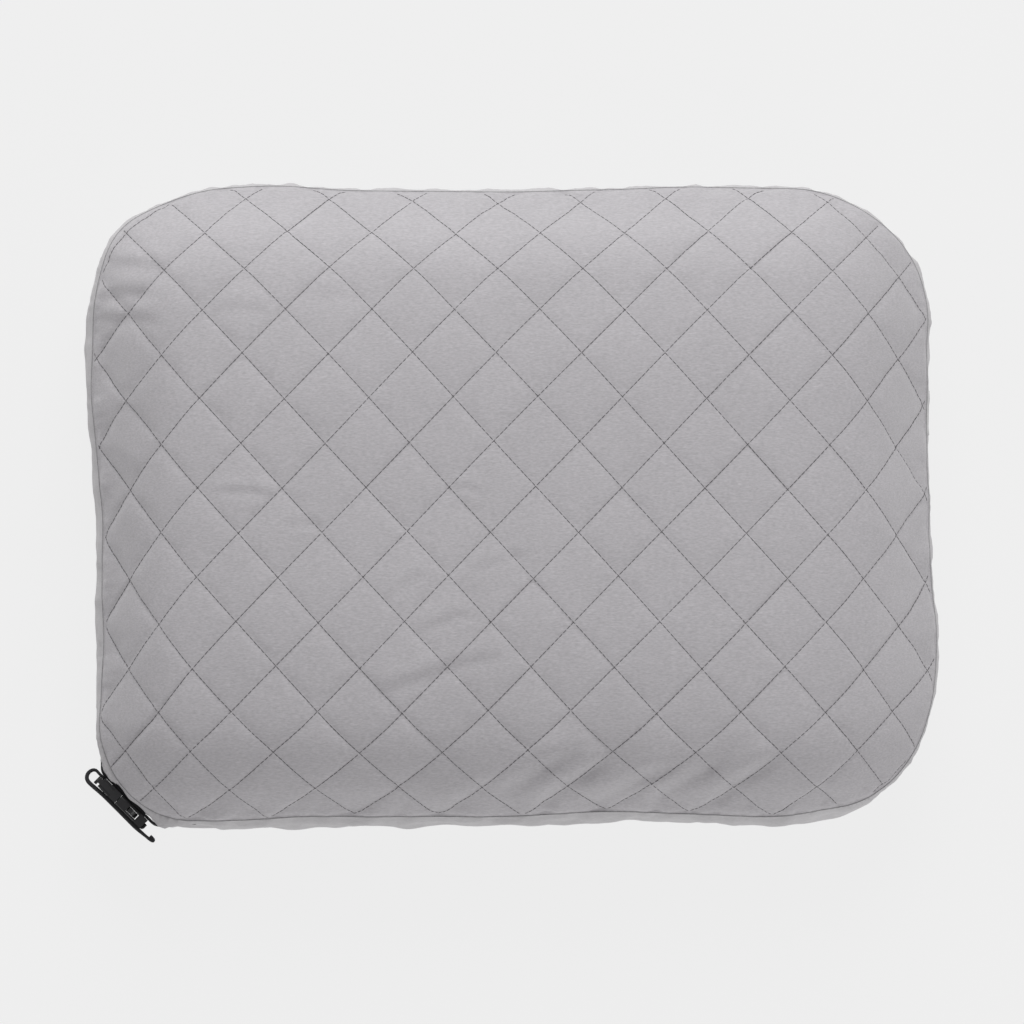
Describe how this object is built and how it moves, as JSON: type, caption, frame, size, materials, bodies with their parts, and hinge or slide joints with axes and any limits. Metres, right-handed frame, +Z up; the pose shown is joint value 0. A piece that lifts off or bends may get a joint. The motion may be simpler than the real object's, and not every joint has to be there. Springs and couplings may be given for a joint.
{
  "type": "camp pillow",
  "caption": "Rectangular camp pillow with a diamond-quilted knit cover that unzips, a foam-filled liner, and a small side-release buckle strap at one corner.",
  "frame": {"origin": "centre of the resting face, at the floor, under the middle of the pillow's plan", "axes": "+X along the pillow's length, +Y towards the zipped back side, +Z up"},
  "size_m": [0.4641, 0.3567, 0.12],
  "materials": {
    "knit_face": "heathered grey brushed knit",
    "knit_panel": "plain grey knit",
    "batting": "white polyester wadding",
    "backing_cloth": "thin white non-woven",
    "liner_cloth": "white cotton-blend cloth",
    "shredded_foam": "shredded foam",
    "label_tape": "blank satin tape",
    "zip_tape": "woven polyester tape",
    "zip_coil": "nylon coil",
    "zip_metal": "gunmetal plated zinc alloy",
    "acetal": "black moulded, fine texture",
    "webbing": "black woven",
    "bartack_thread": "black bonded thread"
  },
  "bodies": {
    "pillow": {"cover_top_face": "knit_face", "cover_quilt_batting": "batting", "cover_quilt_backing": "backing_cloth", "cover_bottom_panel": "knit_panel", "cover_seam_allowance": "knit_panel", "liner_top_panel": "liner_cloth", "liner_bottom_panel": "liner_cloth", "foam_fill": "shredded_foam", "care_label": "label_tape", "zipper_tape_upper": "zip_tape", "zipper_tape_lower": "zip_tape", "zipper_coil_upper": "zip_coil", "zipper_coil_lower": "zip_coil", "zipper_top_stops": "zip_metal", "zipper_bottom_stop": "zip_metal", "buckle_socket": "acetal", "strap_load_web": "webbing", "strap_fixed_web": "webbing", "strap_backing_web": "webbing", "strap_bartacks": "bartack_thread"},
    "zip_slider": {"zipper_slider": "zip_metal"},
    "zip_pull": {"zipper_pull": "zip_metal"},
    "plug": {"buckle_plug": "acetal", "strap_tail_web": "webbing"},
    "prong_upper": {"buckle_prong_upper": "acetal"},
    "prong_lower": {"buckle_prong_lower": "acetal"}
  },
  "joints": [
    {"name": "zip_slide", "type": "slide", "parent": "pillow", "child": "zip_slider", "axis": [-1, 0, 0], "range_m": [0, 0.274], "deforming": ["zipper_coil_upper", "zipper_coil_lower", "zipper_tape_upper", "zipper_tape_lower"]},
    {"name": "zip_pull_swing", "type": "hinge", "parent": "zip_slider", "child": "zip_pull", "pos_m": [0.138, 0.17265, 0.02305], "axis": [1, 0, 0], "range_deg": [-25, 150]},
    {"name": "buckle_release", "type": "slide", "parent": "pillow", "child": "plug", "axis": [-0.7071, 0.7071, 0], "range_m": [0, 0.015], "deforming": ["buckle_prong_upper", "buckle_prong_lower", "strap_load_web"]},
    {"name": "prong_press_upper", "type": "hinge", "parent": "plug", "child": "prong_upper", "pos_m": [-0.2131, -0.16007, 0.0523], "axis": [0.7071, 0.7071, 0], "range_deg": [0, 9], "stiffness_Nm_per_rad": 0.01, "springref_deg": -1.15},
    {"name": "prong_press_lower", "type": "hinge", "parent": "plug", "child": "prong_lower", "pos_m": [-0.2131, -0.16007, 0.0397], "axis": [-0.7071, -0.7071, 0], "range_deg": [0, 9], "stiffness_Nm_per_rad": 0.01, "springref_deg": -1.15}
  ]
}
